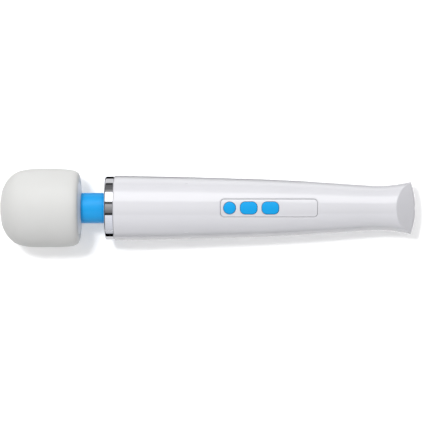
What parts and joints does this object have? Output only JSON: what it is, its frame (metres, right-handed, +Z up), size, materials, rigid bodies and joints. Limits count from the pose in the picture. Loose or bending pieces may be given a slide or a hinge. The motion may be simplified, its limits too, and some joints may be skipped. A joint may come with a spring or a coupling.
{
  "type": "handheld wand massager",
  "caption": "Cordless wand massager: soft round head on a flexible blue neck, chrome ring, long white two-shell handle with a button strip and a ridged tail with charging port.",
  "frame": {"origin": "middle of the footprint, on the surface on which the wand lies", "axes": "+X from the head to the tail along the table, +Z up, buttons up; the wand lies on its head and its tail, so its own axis slopes down 2.58 degrees towards the tail"},
  "size_m": [0.3296, 0.0624, 0.0632],
  "materials": {
    "white_silicone": "smooth matte silicone",
    "white_shell": "high-gloss moulded plastic",
    "white_panel": "gloss moulded plastic",
    "blue_rubber": "satin rubber",
    "blue_button": "satin moulded plastic",
    "chrome_trim": "bright chrome plate",
    "inner_nylon": "natural nylon",
    "steel": "machined",
    "bearing_steel": "ground and polished",
    "weight_steel": "sintered steel",
    "black_rubber": "moulded rubber",
    "black_plastic": "matte moulded plastic",
    "board_green": "solder mask",
    "lamp_clear": "frosted clear",
    "cell_metal": "nickel-plated can",
    "wrap_green": "shrink film",
    "motor_steel": "zinc-plated",
    "bronze": "sintered bronze",
    "magnet_dark": "ferrite",
    "armature_steel": "laminated steel",
    "copper": "turned copper",
    "pin_metal": "nickel-plated brass",
    "lead_red": "PVC insulation"
  },
  "bodies": {
    "handle": {"chrome_ring": "chrome_trim", "nose_plate": "white_shell", "neck_sleeve_rear": "blue_rubber", "upper_shell": "white_shell", "lower_shell": "white_shell", "housing_screws": "steel", "button_panel": "white_panel", "switch_bases": "black_plastic", "main_board": "board_green", "board_chips": "black_plastic", "status_lamps": "lamp_clear", "light_guide": "lamp_clear", "board_tray": "inner_nylon", "board_screws": "steel", "battery_cells": "cell_metal", "battery_wrap": "wrap_green", "motor_can": "motor_steel", "motor_end_cap": "black_plastic", "motor_front_bushing": "bronze", "motor_rear_bushing": "bronze", "motor_magnets": "magnet_dark", "motor_brushes": "magnet_dark", "motor_front_mount": "black_rubber", "motor_rear_mount": "black_rubber", "port_bezel": "white_shell", "charging_jack": "black_plastic", "jack_pin": "pin_metal", "motor_leads": "lead_red", "battery_leads": "lead_red", "jack_leads": "lead_red"},
    "neck_middle": {"neck_hoop": "inner_nylon"},
    "head": {"head_cover": "white_silicone", "head_core": "inner_nylon", "head_rear_plate": "white_shell", "head_screws": "steel", "front_bearing_outer_race": "bearing_steel", "rear_bearing_outer_race": "bearing_steel", "neck_sleeve_front": "blue_rubber"},
    "eccentric": {"eccentric_shaft": "steel", "eccentric_weight": "weight_steel", "front_bearing_inner_race": "bearing_steel", "rear_bearing_inner_race": "bearing_steel"},
    "bearing_balls": {"front_bearing_balls": "bearing_steel", "rear_bearing_balls": "bearing_steel"},
    "rotor": {"motor_shaft": "steel", "motor_armature": "armature_steel", "commutator": "copper", "flex_coupling": "black_rubber"},
    "power_key": {"power_button": "blue_button", "power_switch_plunger": "black_plastic"},
    "intensity_key": {"intensity_button": "blue_button", "intensity_switch_plunger": "black_plastic"},
    "pattern_key": {"pattern_button": "blue_button", "pattern_switch_plunger": "black_plastic"}
  },
  "joints": [
    {"name": "neck_pitch", "type": "hinge", "parent": "handle", "child": "neck_middle", "pos_m": [-0.08718, 0, 0.02966], "axis": [0, 1, 0], "range_deg": [-10, 10], "stiffness_Nm_per_rad": 12, "deforming": ["neck_sleeve_rear", "flex_coupling"]},
    {"name": "neck_yaw", "type": "hinge", "parent": "neck_middle", "child": "head", "pos_m": [-0.09657, 0, 0.0301], "axis": [0.0467, 0, 0.9989], "range_deg": [-10, 10], "stiffness_Nm_per_rad": 12, "deforming": ["neck_sleeve_front"]},
    {"name": "motor_spin", "type": "hinge", "parent": "handle", "child": "rotor", "pos_m": [-0.05481, 0, 0.02815], "axis": [0.9989, 0, -0.0467], "continuous": true},
    {"name": "eccentric_spin", "type": "hinge", "parent": "head", "child": "eccentric", "pos_m": [-0.12973, 0, 0.03165], "axis": [0.9989, 0, -0.0467], "continuous": true},
    {"name": "bearing_ball_spin", "type": "hinge", "parent": "head", "child": "bearing_balls", "pos_m": [-0.12973, 0, 0.03165], "axis": [0.9989, 0, -0.0467], "continuous": true},
    {"name": "power_press", "type": "slide", "parent": "handle", "child": "power_key", "axis": [-0.0467, 0, -0.9989], "range_m": [0, 0.0006], "stiffness_N_per_m": 600},
    {"name": "intensity_press", "type": "slide", "parent": "handle", "child": "intensity_key", "axis": [-0.0467, 0, -0.9989], "range_m": [0, 0.0006], "stiffness_N_per_m": 600},
    {"name": "pattern_press", "type": "slide", "parent": "handle", "child": "pattern_key", "axis": [-0.0467, 0, -0.9989], "range_m": [0, 0.0006], "stiffness_N_per_m": 600}
  ],
  "couplings": [
    {"joint": "motor_spin", "follows": "eccentric_spin", "ratio": 1},
    {"joint": "bearing_ball_spin", "follows": "eccentric_spin", "ratio": 0.368}
  ]
}
